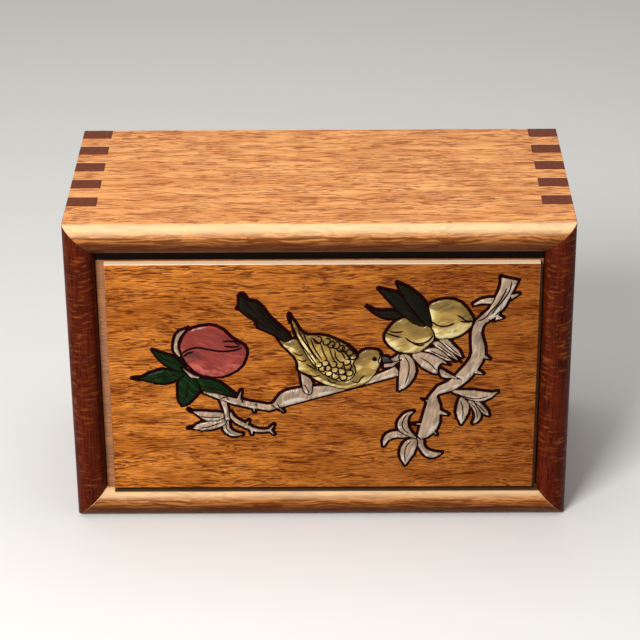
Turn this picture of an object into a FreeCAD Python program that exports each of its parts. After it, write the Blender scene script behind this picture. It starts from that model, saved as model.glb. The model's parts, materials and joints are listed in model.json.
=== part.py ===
import FreeCAD, Part
import math
import os
from FreeCAD import Vector

# Trinket chest. Four thick boards are mitred at the rounded front and finger-jointed behind it.
# A lift-out front, inlaid with shell on a dark mastic bed, closes three small drawers.
# The chest stands on z = 0 and faces -Y; x = 0 and y = 0 are the middle of its footprint.
# All sizes are in millimetres.

# Case
case_width = 250.0
case_height = 162.5
case_depth = 127.5
board_thickness = 15.0
mitre_shoulder = 21.0        # mitred length behind the rounding, before the first finger
finger_count = 9             # the side boards own the first finger and the last one
back_thickness = 5.0
back_inset = 6.0             # from the rear edges to the back panel
back_groove_depth = 4.0
panel_play = 0.2             # air at the edges of a panel in its grooves

# Shelf and divider
lower_bay_height = 68.0
shelf_thickness = 8.0
shelf_housing = 4.0          # each end goes this far into a side board
divider_thickness = 8.0
divider_housing = 3.0

# Lift-out front: a proud field on a thinner plate whose top and foot run in grooves
front_thickness = 10.0
field_step = 5.3             # the field stands this far in front of the plate
field_setback = 3.5          # from the case's foremost line back to the field
field_gap_left = 4.8
field_gap_right = 2.1
field_gap_below = 1.1
lift_gap = 5.4               # above the field, so that the front can be raised
front_side_play = 0.4
front_foot_play = 0.3
tongue_play = 0.3            # in front of the plate in both grooves, and behind its foot
tilt_play = 0.9              # behind the plate's head, so that its foot can swing out
sill_groove_depth = 4.0
head_engagement = 4.0
lift_clearance = 0.5         # how far the raised foot passes over the sill
head_groove_play = 0.8
field_edge_radius = 0.6

# Drawers
knob_room = 12.0             # from the back of the lift-out front to the drawer fronts
drawer_rear_play = 2.0
drawer_side_play = 0.4
drawer_top_play = 0.8
drawer_running_play = 0.3
drawer_front_thickness = 9.0
drawer_front_lap = 4.0       # wood left in front of the drawer sides
drawer_side_thickness = 6.0
drawer_side_drop = 2.0       # the sides and back stop this far below the front's top
drawer_bottom_thickness = 3.0
drawer_bottom_lift = 2.5
drawer_groove_depth = 3.0
drawer_groove_play = 0.1
drawer_finger_count = 5

# Turned knobs
knob_projection = 10.0
knob_head_height = 6.2
knob_radius = 5.5
knob_chamfer = 1.3
knob_neck_radius = 2.6
knob_foot_radius = 4.0
knob_foot_height = 1.2
knob_shank_radius = 2.0
knob_hole_play = 0.05

# Inlay
drawing_width = 213.1        # the field that the inlay below is drawn for
drawing_height = 126.0
pocket_depth = 1.3
mastic_recess = 0.3          # the mastic stays this far below the field's face
shell_rise = 0.8             # the shell stands this far above it
mastic_border = 1.2          # dark border round the shell
mastic_line = 0.7            # dark line between neighbouring pieces of shell
longest_point = 2.2          # how many borders a sharp point's dark end may run past it
curve_deflection = 0.14       # straight cuts stay this close to a drawn curve
smallest_chip = 1.0          # smaller offcuts, in cubic millimetres, are left out

# Places worked out from the sizes above
half_width = case_width / 2
inner_x = half_width - board_thickness
floor_z = board_thickness
roof_z = case_height - board_thickness
front_y = -case_depth / 2
rounding_y = front_y + board_thickness / 2
rear_y = case_depth / 2
shoulder_y = rounding_y + mitre_shoulder

back_rear_y = rear_y - back_inset
back_front_y = back_rear_y - back_thickness
shelf_z = floor_z + lower_bay_height
shelf_top_z = shelf_z + shelf_thickness

field_y = front_y + field_setback
plate_y = field_y + field_step
front_back_y = field_y + front_thickness
field_low = Vector(-inner_x + field_gap_left, field_y, floor_z + field_gap_below)
field_high = Vector(inner_x - field_gap_right, plate_y, roof_z - lift_gap)
sill_groove_z = floor_z - sill_groove_depth
lift_travel = sill_groove_depth - front_foot_play + lift_clearance
head_groove_z = roof_z + head_engagement + lift_travel + head_groove_play

drawer_front_y = front_back_y + knob_room
drawer_rear_y = back_front_y - drawer_rear_play

# Inlay drawing, in millimetres from the middle of the field, x to the right and z up.
# A leaf, the beak, the wing and the tail start at their tip. The peaches have no corner.
# A twig is its middle line with the width at each point. A thorn is its foot, tip and width.
peach_leaves = [
    [
        (-84, 16), (-80.5, 14.5), (-76.5, 13), (-73.5, 12), (-71, 9.5), (-69, 5.5), (-72.5, 5),
        (-76, 7), (-79.5, 10), (-82, 13),
    ],
    [
        (-90.5, 0.5), (-86.5, 3), (-82.5, 4.5), (-78, 5.5), (-73, 4.5), (-69, 3.5), (-71, 1),
        (-75, -1), (-80, -2), (-83.5, -1.5), (-87, -0.5),
    ],
    [
        (-70.5, -14.5), (-72, -11), (-72, -6.5), (-72, -2.5), (-70.5, 1), (-68, 3), (-65, 1.5),
        (-63, -1), (-61.5, -4.5), (-62.5, -7.5), (-65.5, -11), (-68, -13.5),
    ],
    [
        (-44, -9), (-49, -8.5), (-54.5, -7.5), (-59, -6.5), (-61.5, -4.5), (-63, -1), (-64, 1.5),
        (-61, 0.5), (-57, 0), (-53.5, -1), (-49.5, -4), (-46.5, -6.5),
    ],
]
left_spray_leaves = [
    [
        (-65, -18.5), (-62, -18.5), (-58, -19), (-53.5, -19), (-49.5, -20.5), (-51, -22.5),
        (-55.5, -23.5), (-59.5, -23), (-62, -21),
    ],
    [
        (-65.5, -28), (-62.5, -25.5), (-58.5, -24.5), (-54, -23.5), (-49, -22.5), (-49, -24.5),
        (-52, -27), (-56.5, -28.5), (-61, -29),
    ],
    [
        (-41, -31.5), (-44.5, -30.5), (-46.5, -29), (-47.5, -26), (-48, -23), (-49.5, -24),
        (-50.5, -26.5), (-49.5, -30), (-47, -32), (-44, -32.5),
    ],
]
crown_leaves = [
    [
        (37, 52.5), (41.5, 50.5), (46, 47), (50, 42.5), (52, 38.5), (53, 33.5), (53.5, 29),
        (50, 31.5), (46, 36.5), (42.5, 41.5), (39.5, 46.5),
    ],
    [
        (28, 49.5), (32, 49), (36, 47.5), (39.5, 44.5), (42.5, 40.5), (46, 35), (50.5, 29.5),
        (45, 31), (41, 34.5), (37, 38.5), (33.5, 43), (30.5, 46.5),
    ],
    [
        (23.5, 39), (27, 37.5), (31.5, 37.5), (35.5, 37.5), (39, 35.5), (38, 34), (34.5, 33.5),
        (31, 34), (27, 36),
    ],
]
middle_leaves = [
    [
        (38, -6.5), (38, -3), (38, 1.5), (38.5, 6), (38.5, 10), (38, 12.5), (40, 13.5), (42.5, 13),
        (44.5, 11), (46, 7), (46, 3), (44, -1.5), (41, -5),
    ],
    [
        (61.5, 8.5), (58.5, 8.5), (57, 6), (57, 3), (53.5, 4), (49.5, 6.5), (46.5, 10),
        (44.5, 13.5), (49, 14.5), (54.5, 13), (58.5, 11),
    ],
    [(64, 10), (61, 10.5), (57, 13), (53, 15), (50.5, 15.5), (55, 17), (58.5, 15.5), (61.5, 13)],
    [
        (67, 10.5), (63, 12.5), (59, 15.5), (56, 18), (54.5, 19.5), (57, 20.5), (60.5, 17.5),
        (64, 14.5),
    ],
    [(69, 12), (65.5, 14), (61.5, 17.5), (58, 21.5), (61, 22), (64.5, 18.5), (67.5, 15.5)],
    [(67, 0), (63, 0.5), (59, 1.5), (58.5, 5), (60.5, 4), (63.5, 2)],
    [(34, 11), (36.5, 12.5), (38, 13.5), (38.5, 11.5), (37.5, 9.5), (35.5, 9)],
]
right_spray_leaves = [
    [
        (87, -8), (83.5, -8.5), (78.5, -7.5), (73.5, -7), (68.5, -7), (64.5, -7), (68.5, -9.5),
        (72.5, -11.5), (77.5, -13), (82, -12), (85, -10),
    ],
    [
        (69.5, -26), (67.5, -21.5), (67, -17.5), (68, -13.5), (69, -11), (71.5, -12.5),
        (73, -14.5), (73, -18.5), (71.5, -22.5),
    ],
    [
        (75.5, -25.5), (76.5, -22), (76, -18.5), (74, -15.5), (72.5, -13), (74.5, -13),
        (77, -16.5), (79, -19.5), (78.5, -23.5),
    ],
    [(83, -21), (80, -19.5), (77.5, -16), (75, -13), (78, -13.5), (80.5, -16), (82.5, -18.5)],
]
foot_spray_leaves = [
    [
        (45, -19), (41.5, -20), (39, -22.5), (37.5, -26), (38.5, -29.5), (42.5, -32.5), (47, -34),
        (44.5, -31), (42.5, -27), (42.5, -22.5),
    ],
    [
        (30.5, -38.5), (30.5, -34.5), (32, -32), (35, -30.5), (38.5, -30.5), (43.5, -33),
        (40.5, -33.5), (36, -33.5), (33, -35),
    ],
    [
        (41.5, -49.5), (39.5, -46), (39, -41.5), (40.5, -37.5), (43.5, -35), (47, -35), (47, -39),
        (45.5, -43.5), (43.5, -46.5),
    ],
    [
        (59.5, -43), (56, -42.5), (52.5, -41), (50.5, -37.5), (50, -34.5), (47.5, -34.5),
        (48, -38.5), (50, -42), (53, -45), (56.5, -45),
    ],
]
red_peach = [
    (-70.5, 19), (-68.5, 24), (-66, 27), (-62.5, 28.5), (-58, 29.5), (-54, 29.5), (-50.5, 28),
    (-47.5, 25.5), (-45, 22.5), (-42, 20.5), (-39.5, 19), (-38, 16.5), (-38.5, 12.5), (-40, 8.5),
    (-43.5, 5), (-48, 2.5), (-53, 1.5), (-57.5, 2), (-62, 3.5), (-65.5, 7), (-68.5, 11), (-70, 15),
]
peach_rim = [
    [
        (-68, 27.5), (-71, 23), (-72, 18), (-71, 13), (-73, 15), (-73.5, 19.5), (-72.5, 24),
        (-70.5, 26.5),
    ],
    [(-69.5, 6), (-67, 4), (-64.5, 2), (-61.5, 1), (-65, 1), (-67.5, 3.5)],
]
right_peach = [
    (53.5, 41.5), (55.5, 42.5), (59.5, 43.5), (63.5, 43.5), (67.5, 42), (70.5, 39), (72.5, 36),
    (74, 33), (73.5, 30), (71.5, 27), (69, 25), (65, 23), (61, 22.5), (57, 22.5), (55, 25),
    (53.5, 29), (53, 33.5), (52.5, 38),
]
left_peach = [
    (33.5, 28.5), (31.5, 25.5), (31, 23), (32.5, 19.5), (35, 17), (38.5, 15), (42.5, 14.5),
    (46.5, 14.5), (50, 16.5), (53, 19.5), (55, 22.5), (54.5, 26), (51, 30.5), (46, 33),
    (40.5, 33.5), (36, 31.5),
]
bird_body = [
    (-21, 21.5), (-18, 20.5), (-14.5, 22), (-11, 21), (-6, 16.5), (3.5, 9.5), (13.5, 9.5), (17, 12), (18.5, 14), (21.5, 16), (25, 16), (28, 15),
    (29, 12.5), (28.5, 9.5), (27, 5), (24.5, 1), (21, -2.5), (16.5, -4.5), (11, -5.5), (5.5, -4.5),
    (0.5, -2.5), (-4.5, 0.5), (-8.5, 3.5), (-12, 5.5), (-12, 8), (-13, 11.5), (-15.5, 15),
    (-18.5, 18),
]
bird_wing = [
    (-15, 33), (-12.5, 29), (-11, 26.5), (-8.5, 24.5), (-5.5, 24), (-1, 24), (3.5, 23),
    (8.5, 20.5), (13.5, 17.5), (16.5, 14), (17.5, 12.5), (15.5, 10.5), (15, 8.5), (16, 5.5),
    (15.5, 2.5), (13.5, 0), (10, -1), (6.5, -0.5), (2.5, 1.5), (-2, 5), (-6, 10.5), (-9, 16.5),
    (-12.5, 23), (-14, 28),
]
bird_tail = [
    (-40.5, 45.5), (-39, 45), (-37, 43.5), (-32.5, 42.5), (-29.5, 39.5), (-26, 34), (-21, 29),
    (-17, 25), (-16, 21.5), (-18, 21), (-22, 24), (-27, 27), (-31.5, 29), (-31.5, 32),
    (-36.5, 35.5), (-40.5, 39), (-40.5, 42.5),
]
bird_beak = [
    [(34, 10), (32, 9.5), (30, 9.5), (29.5, 12), (32, 12)],
    [(38, 10), (34.5, 7), (30.5, 6.5), (30.5, 8), (34.5, 8.5)],
]
bird_leg = [
    (-11, 3.5), (-8, 1.5), (-5.5, -1.5), (-5.5, -5), (-6.5, -8.5), (-8.5, -8), (-10, -4),
    (-10.5, -0.5),
]
left_branch = [
    (-59.5, -7, 1), (-54.5, -9, 1.5), (-49.5, -11, 2.5), (-44.5, -12.5, 3), (-39.5, -14, 3),
    (-34.5, -15, 3), (-29.5, -16, 3), (-25, -16, 3), (-22, -13.5, 4), (-19.5, -10, 4),
    (-15.5, -8, 3.5), (-10.5, -7, 3.5), (-4, -6, 3), (3.5, -5.5, 3), (11, -5.5, 2.5),
    (18.5, -4, 3), (24.5, -2, 4.5), (30.5, 0.5, 6), (35, 2.5, 6), (37.5, 4.5, 5.5),
]
left_branch_thorns = [
    ((-42.5, -12.5), (-41, -7), 2), ((-35, -15), (-34.5, -18.5), 1.5),
    ((-23, -14), (-20, -18.5), 3),
]
left_stem = [(-50, -11.5, 3), (-49, -15.5, 2), (-48.5, -19.5, 2), (-48, -23, 2)]
left_twig = [
    (-47, -19.5, 2), (-45, -22.5, 1.5), (-42, -25, 2), (-39, -26.5, 1.5), (-36, -28.5, 1.5),
    (-32.5, -29.5, 1), (-28, -29.5, 1), (-26.5, -29, 1),
]
left_twig_thorns = [
    ((-39, -26.5), (-37.5, -24), 1.5), ((-36, -28.5), (-36, -31.5), 1.5),
    ((-27, -29), (-25, -26.5), 1), ((-27, -29), (-25, -31.5), 1),
]
right_trunk = [
    (91.5, 54.5, 8), (90, 48, 6.5), (87, 41.5, 6), (83.5, 36, 5), (78, 31.5, 4), (76, 25.5, 4.5),
    (77, 18.5, 6), (77, 12.5, 6), (73.5, 5.5, 6), (69, 0, 6), (63.5, -4.5, 5), (58.5, -6.5, 4),
    (55, -8.5, 4.5), (56, -14, 4), (56.5, -20.5, 4), (56, -26, 4), (53, -30.5, 4), (48.5, -33.5, 2.5),
]
right_trunk_thorns = [
    ((92.5, 45), (96, 46.5), 2), ((85.5, 34), (88.5, 33.5), 3), ((79.5, 12.5), (82.5, 11), 2),
    ((76, 4), (79.5, 2.5), 2), ((54, -13.5), (51.5, -12.5), 2), ((57.5, -19), (62.5, -20.5), 2.5),
    ((55, -26), (47, -26), 1.5), ((54.5, -28.5), (57, -32), 2),
]
right_spur = [(86.5, 42, 3.5), (81, 43, 2.5), (74.5, 41, 0.5)]


def box(low, high):
    """A block between two corners."""
    size = Vector(*high) - Vector(*low)
    return Part.makeBox(size.x, size.y, size.z, Vector(*low))


def save(node, *shapes):
    """Write one node, which may hold several separate solids."""
    shape = shapes[0] if len(shapes) == 1 else Part.makeCompound(list(shapes))
    shape.exportStep("parts/%s.step" % node)


def finger_slices(low, high, axis, count, first):
    """Every second slice of a corner block along one axis (0, 1 or 2), from slice `first` on."""
    pitch = (high[axis] - low[axis]) / count
    slices = []
    for number in range(first, count, 2):
        start, end = list(low), list(high)
        start[axis] = low[axis] + number * pitch
        end[axis] = start[axis] + pitch
        slices.append(box(start, end))
    return slices


# Case

def board_section(place):
    """A board's section: two flat faces, a square rear edge and a half-round front."""
    corners = [
        place(0, rounding_y), place(0, rear_y),
        place(board_thickness, rear_y), place(board_thickness, rounding_y),
    ]
    edges = [Part.LineSegment(a, b).toShape() for a, b in zip(corners, corners[1:])]
    nose = place(board_thickness / 2, front_y)
    edges.append(Part.Arc(corners[3], nose, corners[0]).toShape())
    return Part.Face(Part.Wire(edges))


def flat_board(low_z):
    """The top or bottom board at its full width, before its corners are cut."""
    section = board_section(lambda across, y: Vector(-half_width, y, low_z + across))
    return section.extrude(Vector(case_width, 0, 0))


def upright_board(low_x):
    """A side board at its full height, before its corners are cut."""
    section = board_section(lambda across, y: Vector(low_x + across, y, 0))
    return section.extrude(Vector(0, 0, case_height))


def corner_block(side, level):
    """Low and high corner of the square where a side (-1, 1) meets the bottom or top (-1, 1)."""
    outer_z = case_height if level > 0 else 0
    inner_z = roof_z if level > 0 else floor_z
    xs = sorted((side * inner_x, side * half_width))
    zs = sorted((inner_z, outer_z))
    return (xs[0], shoulder_y, zs[0]), (xs[1], rear_y, zs[1])


def mitre_wedge(side, level, for_upright):
    """The half of a front corner that one of the two boards gives up to the other."""
    outer_z = case_height if level > 0 else 0
    inner_z = roof_z if level > 0 else floor_z
    outer_x, near_x = side * half_width, side * inner_x
    third = (near_x, outer_z) if for_upright else (outer_x, inner_z)
    points = [Vector(x, front_y, z) for x, z in ((outer_x, outer_z), (near_x, inner_z), third)]
    triangle = Part.Face(Part.makePolygon(points + points[:1]))
    return triangle.extrude(Vector(0, shoulder_y - front_y, 0))


def back_panel(play=0.0):
    """The back panel, or with some play the space that its grooves leave for it."""
    reach = back_groove_depth - panel_play + play
    low = (-inner_x - reach, back_front_y, floor_z - reach)
    high = (inner_x + reach, back_rear_y, roof_z + reach)
    return box(low, high)


def shelf():
    """The shelf, with its ends in the side boards and the divider's foot let into its top."""
    reach = inner_x + shelf_housing
    board = box((-reach, drawer_front_y, shelf_z), (reach, back_front_y, shelf_top_z))
    return board.cut(divider())


def divider():
    """The upright between the two upper drawers."""
    low = (-divider_thickness / 2, drawer_front_y, shelf_top_z - divider_housing)
    high = (divider_thickness / 2, back_front_y, roof_z + divider_housing)
    return box(low, high)


def sill_groove():
    """The groove in the bottom board for the foot of the lift-out front."""
    low = (-inner_x, plate_y - tongue_play, sill_groove_z)
    return box(low, (inner_x, front_back_y + tongue_play, floor_z))


def head_groove():
    """The deeper, wider groove in the top board for the head of the lift-out front."""
    low = (-inner_x, plate_y - tongue_play, roof_z)
    return box(low, (inner_x, front_back_y + tilt_play, head_groove_z))


def make_case():
    """Four boards with mitred and fingered corners, the back panel, the shelf and the divider."""
    back_space = back_panel(panel_play)
    for level, node, low_z in ((-1, "bottom_board", 0), (1, "top_board", roof_z)):
        groove = sill_groove() if level < 0 else head_groove()
        cuts = [back_space, groove, divider()]
        for side in (-1, 1):
            low, high = corner_block(side, level)
            cuts.append(mitre_wedge(side, level, False))
            cuts += finger_slices(low, high, 1, finger_count, 0)
        save(node, flat_board(low_z).cut(cuts))
    for side, node in ((-1, "left_board"), (1, "right_board")):
        cuts = [back_space, shelf()]
        for level in (-1, 1):
            low, high = corner_block(side, level)
            cuts.append(mitre_wedge(side, level, True))
            cuts += finger_slices(low, high, 1, finger_count, 1)
        save(node, upright_board(min(side * inner_x, side * half_width)).cut(cuts))
    save("back_panel", back_panel())
    save("shelf", shelf())
    save("divider", divider())


# Inlay outlines

def flat(point):
    """A point of the drawing on the upright plane y = 0."""
    return Vector(point[0], 0, point[1])


def pointed_outline(points):
    """A smooth closed curve through the points, with a sharp corner at the first."""
    curve = Part.BSplineCurve()
    curve.interpolate(Points=[flat(p) for p in points + points[:1]])
    return curve.toShape().discretize(Deflection=curve_deflection)[:-1]


def round_outline(points):
    """A smooth closed curve through the points."""
    curve = Part.BSplineCurve()
    curve.interpolate(Points=[flat(p) for p in points], PeriodicFlag=True)
    return curve.toShape().discretize(Deflection=curve_deflection)[:-1]


def twig_outline(stations):
    """A bending strip whose width changes from point to point along its middle line."""
    middle = [Vector(x, 0, z) for x, z, width in stations]
    left, right = [], []
    for number, (x, z, width) in enumerate(stations):
        ahead = middle[min(number + 1, len(middle) - 1)]
        behind = middle[max(number - 1, 0)]
        along = (ahead - behind).normalize()
        side = Vector(-along.z, 0, along.x) * (width / 2)
        left.append(middle[number] + side)
        right.append(middle[number] - side)
    outline = []
    for edge in (left, right[::-1]):
        curve = Part.BSplineCurve()
        curve.interpolate(Points=edge)
        outline += curve.toShape().discretize(Deflection=curve_deflection)
    return outline


def thorn_outline(foot, tip, width):
    """A pointed stub on a branch."""
    start, end = flat(foot), flat(tip)
    along = (end - start).normalize()
    side = Vector(-along.z, 0, along.x) * (width / 2)
    return [start - side, end, start + side]


def grown(outline, border):
    """The outline moved outwards by a border. A sharp point gets a blunt, longer end."""
    count = len(outline)
    area = sum(a.x * b.z - b.x * a.z for a, b in zip(outline, outline[1:] + outline[:1]))
    outwards = 1 if area > 0 else -1
    result = []
    for number, point in enumerate(outline):
        arriving = (point - outline[number - 1]).normalize()
        leaving = (outline[(number + 1) % count] - point).normalize()
        normal_a = Vector(arriving.z, 0, -arriving.x) * outwards
        normal_b = Vector(leaving.z, 0, -leaving.x) * outwards
        turn = math.atan2(arriving.x * leaving.z - arriving.z * leaving.x, arriving.dot(leaving))
        reach = math.tan(turn * outwards / 2)
        if reach > longest_point:
            result.append(point + (normal_a + arriving * longest_point) * border)
            result.append(point + (normal_b - leaving * longest_point) * border)
        else:
            result.append(point + (normal_a + arriving * reach) * border)
    return result


def inlay_drawing():
    """Each node with the outlines of its pieces, in the order in which they cover each other."""
    twig, thorn = twig_outline, thorn_outline
    branch = [twig(left_branch)] + [thorn(*item) for item in left_branch_thorns]
    side_twig = [twig(left_twig)] + [thorn(*item) for item in left_twig_thorns]
    trunk = [twig(right_trunk)] + [thorn(*item) for item in right_trunk_thorns]
    drawing = [("bird_wing", [pointed_outline(bird_wing)]), ("bird_body", [pointed_outline(bird_body)])]
    drawing += [("bird_body", [pointed_outline(bird_leg)])]
    drawing += [("bird_body", [[flat(p) for p in bit]]) for bit in bird_beak]
    drawing += [("bird_tail", [[flat(p) for p in bird_tail]])]
    drawing += [("red_peach", [round_outline(red_peach)])]
    drawing += [("peach_rim", [pointed_outline(sliver)]) for sliver in peach_rim]
    drawing += [("crown_leaves", [pointed_outline(leaf)]) for leaf in crown_leaves]
    drawing += [("gold_peaches", [round_outline(peach)]) for peach in (left_peach, right_peach)]
    drawing += [("peach_leaves", [pointed_outline(leaf)]) for leaf in peach_leaves]
    drawing += [("middle_leaves", [pointed_outline(leaf)]) for leaf in middle_leaves]
    drawing += [("right_branch", trunk), ("right_branch", [twig(right_spur)])]
    drawing += [("left_branch", branch), ("left_spray", [twig(left_stem)])]
    drawing += [("left_spray", [pointed_outline(leaf)]) for leaf in left_spray_leaves]
    drawing += [("left_spray", side_twig)]
    drawing += [("right_spray", [pointed_outline(leaf)]) for leaf in right_spray_leaves]
    drawing += [("foot_spray", [pointed_outline(leaf)]) for leaf in foot_spray_leaves]
    return drawing


def slab(outlines, near, far):
    """Drawn outlines as one slab in the field, between two depths behind its face."""
    field_size = field_high - field_low
    scale = min(field_size.x / drawing_width, field_size.z / drawing_height)
    centre = (field_low + field_high) * 0.5
    start = Vector(centre.x, field_y + near, centre.z)
    blocks = []
    for outline in outlines:
        points = [start + point * scale for point in outline]
        face = Part.Face(Part.makePolygon(points + points[:1]))
        blocks.append(face.extrude(Vector(0, far - near, 0)))
    return blocks[0].multiFuse(blocks[1:]).removeSplitter() if len(blocks) > 1 else blocks[0]


def make_inlay():
    """The shell pieces and the mastic bed under them. Returns the pocket that holds them."""
    nodes, covered, borders = {}, [], []
    for node, outlines in inlay_drawing():
        shell = slab(outlines, -shell_rise, mastic_recess)
        if covered:
            shell = shell.cut(covered)
        nodes.setdefault(node, []).extend(s for s in shell.Solids if s.Volume > smallest_chip)
        edged = [grown(outline, mastic_line) for outline in outlines]
        covered.append(slab(edged, -shell_rise, mastic_recess))
        borders += [grown(outline, mastic_border) for outline in outlines]
    for node, solids in nodes.items():
        save(node, *solids)
    bed = slab(borders, mastic_recess, pocket_depth)
    save("mastic_bed", *bed.Solids)
    return slab(borders, 0, pocket_depth)


# Lift-out front

def make_front(pocket):
    """The front: a plate with a proud field, softened at its edges and pocketed for the inlay."""
    field = box(field_low, field_high)
    rim = [edge for edge in field.Edges if abs(edge.BoundBox.YMax - field_y) < 1e-6]
    field = field.makeFillet(min(field_edge_radius, field_step / 2), rim)
    low = (-inner_x + front_side_play, plate_y, sill_groove_z + front_foot_play)
    plate = box(low, (inner_x - front_side_play, front_back_y, roof_z + head_engagement))
    save("lift_out_front", field.fuse(plate).removeSplitter().cut(pocket))


# Drawers

def knob(centre_x, centre_z):
    """A turned knob, chamfered at both rims, on a spindle right through the drawer front."""
    def place(radius, height):
        return Vector(radius, drawer_front_y - height, 0)

    head_foot = knob_projection - knob_head_height
    rim_radius = knob_radius - knob_chamfer
    points = [
        place(0, -drawer_front_thickness), place(knob_shank_radius, -drawer_front_thickness),
        place(knob_shank_radius, 0), place(knob_foot_radius, 0),
        place(knob_foot_radius, knob_foot_height), place(knob_neck_radius, knob_foot_height),
        place(knob_neck_radius, head_foot), place(rim_radius, head_foot),
        place(knob_radius, head_foot + knob_chamfer),
        place(knob_radius, knob_projection - knob_chamfer),
        place(rim_radius, knob_projection), place(0, knob_projection),
    ]
    outline = Part.Face(Part.makePolygon(points + points[:1]))
    turned = outline.revolve(Vector(0, 0, 0), Vector(0, 1, 0), 360)
    turned.translate(Vector(centre_x, 0, centre_z))
    return turned


def make_drawer(name, bay_low_x, bay_high_x, bay_low_z, bay_high_z):
    """One drawer: a lapped front, two sides finger-jointed to the back, a grooved bottom, a knob."""
    left = bay_low_x + drawer_side_play
    right = bay_high_x - drawer_side_play
    low = bay_low_z + drawer_running_play
    high = bay_high_z - drawer_top_play
    side_top = high - drawer_side_drop
    lap_y = drawer_front_y + drawer_front_lap
    front_rear_y = drawer_front_y + drawer_front_thickness
    back_y = drawer_rear_y - drawer_side_thickness
    bottom_low = low + drawer_bottom_lift
    bottom_high = bottom_low + drawer_bottom_thickness
    inner_left = left + drawer_side_thickness
    inner_right = right - drawer_side_thickness

    reach = drawer_groove_depth - drawer_groove_play
    bottom = box((inner_left - reach, front_rear_y - reach, bottom_low),
                 (inner_right + reach, drawer_rear_y, bottom_high))
    groove = box((inner_left - drawer_groove_depth, front_rear_y - drawer_groove_depth, bottom_low),
                 (inner_right + drawer_groove_depth, drawer_rear_y, bottom_high))

    front = box((left, drawer_front_y, low), (right, front_rear_y, high))
    back = box((left, back_y, bottom_high), (right, drawer_rear_y, side_top))
    for side, outer, inner in (("left", left, inner_left), ("right", right, inner_right)):
        xs = sorted((outer, inner))
        board = box((xs[0], lap_y, low), (xs[1], drawer_rear_y, side_top))
        corner = (xs[0], back_y, bottom_high), (xs[1], drawer_rear_y, side_top)
        front = front.cut(board)
        back = back.cut(finger_slices(*corner, 2, drawer_finger_count, 0))
        board = board.cut(finger_slices(*corner, 2, drawer_finger_count, 1) + [groove])
        save("%s_%s_side" % (name, side), board)

    centre_x, centre_z = (left + right) / 2, (low + high) / 2
    hole = Part.makeCylinder(knob_shank_radius + knob_hole_play, drawer_front_thickness,
                             Vector(centre_x, drawer_front_y, centre_z), Vector(0, 1, 0))
    save(name + "_front", front.cut([groove, hole]))
    save(name + "_back", back)
    save(name + "_bottom", bottom)
    save(name + "_knob", knob(centre_x, centre_z))


def make_drawers():
    """Two half-width drawers over one of full width."""
    half_divider = divider_thickness / 2
    make_drawer("lower_drawer", -inner_x, inner_x, floor_z, shelf_z)
    make_drawer("upper_left_drawer", -inner_x, -half_divider, shelf_top_z, roof_z)
    make_drawer("upper_right_drawer", half_divider, inner_x, shelf_top_z, roof_z)


os.makedirs("parts", exist_ok=True)
make_case()
make_front(make_inlay())
make_drawers()
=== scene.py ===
import json
import math

import bpy
from mathutils import Matrix, Vector

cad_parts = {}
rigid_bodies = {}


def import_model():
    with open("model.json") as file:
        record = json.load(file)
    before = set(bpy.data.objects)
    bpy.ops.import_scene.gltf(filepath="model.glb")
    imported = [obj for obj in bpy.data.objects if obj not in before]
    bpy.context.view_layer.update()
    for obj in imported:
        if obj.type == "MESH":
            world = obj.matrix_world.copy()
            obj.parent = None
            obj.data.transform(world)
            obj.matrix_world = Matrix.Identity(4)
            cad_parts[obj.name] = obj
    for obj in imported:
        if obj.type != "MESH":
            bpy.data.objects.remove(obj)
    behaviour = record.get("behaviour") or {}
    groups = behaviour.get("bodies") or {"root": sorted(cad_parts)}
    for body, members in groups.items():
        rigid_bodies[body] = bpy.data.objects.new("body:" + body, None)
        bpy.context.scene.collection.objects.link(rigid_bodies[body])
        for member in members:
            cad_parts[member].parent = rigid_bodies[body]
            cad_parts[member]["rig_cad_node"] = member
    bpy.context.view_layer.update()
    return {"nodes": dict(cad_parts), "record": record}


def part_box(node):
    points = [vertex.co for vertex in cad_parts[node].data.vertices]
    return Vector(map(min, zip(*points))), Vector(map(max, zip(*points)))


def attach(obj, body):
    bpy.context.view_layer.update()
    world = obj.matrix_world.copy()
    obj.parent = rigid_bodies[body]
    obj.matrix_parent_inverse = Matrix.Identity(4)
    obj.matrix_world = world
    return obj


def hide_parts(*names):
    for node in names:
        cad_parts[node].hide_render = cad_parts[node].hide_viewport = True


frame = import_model()

bl_info = {
    "name": "Trinket chest",
    "version": (1, 0, 0),
    "blender": (4, 5, 0),
    "location": "View3D > Sidebar > Chest",
    "description": "Dresses a wooden trinket chest whose lift-out front is inlaid with shell",
    "category": "Object",
}

MM = 0.001

# What the chest is made of, by node
CASE_BOARDS = ("top_board", "bottom_board", "left_board", "right_board")
INNER_BOARDS = ("back_panel", "shelf", "divider")
DRAWERS = ("lower_drawer", "upper_left_drawer", "upper_right_drawer")
BODY_OF = {
    node: body for body, nodes in frame["record"]["behaviour"]["bodies"].items() for node in nodes}
SLOT_OF = {row["node"]: row["material_slot"] for row in frame["record"]["subparts"]}

# Turns that lay a board's grain along the pattern's own X
GRAIN_X = (0.0, 0.0, 0.0)
GRAIN_Y = (0.0, 0.0, -math.pi / 2)
GRAIN_Z = (0.0, math.pi / 2, 0.0)

# The raised field of the front: its middle, left edge and top, then its face, the face of the plate round it,
# and a level between that plate and the floor of the inlay's pocket
FIELD_CENTRE = (1.35 * MM, 79.1 * MM)
FIELD_LEFT = -105.2 * MM
FIELD_TOP = 142.1 * MM
FACE_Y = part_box("lift_out_front")[0].y
PLATE_Y = FACE_Y + 5.3 * MM
BEHIND_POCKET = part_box("mastic_bed")[1].y + 0.95 * MM

# How near two places are to count as one, and how near a place is to a line to lie on it
SAME_PLACE = 0.01 * MM
ON_LINE = 0.02 * MM
# A shorter edge of the mastic is the cut-off tip of a point
TIP_WIDTH = 1.7 * MM

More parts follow.
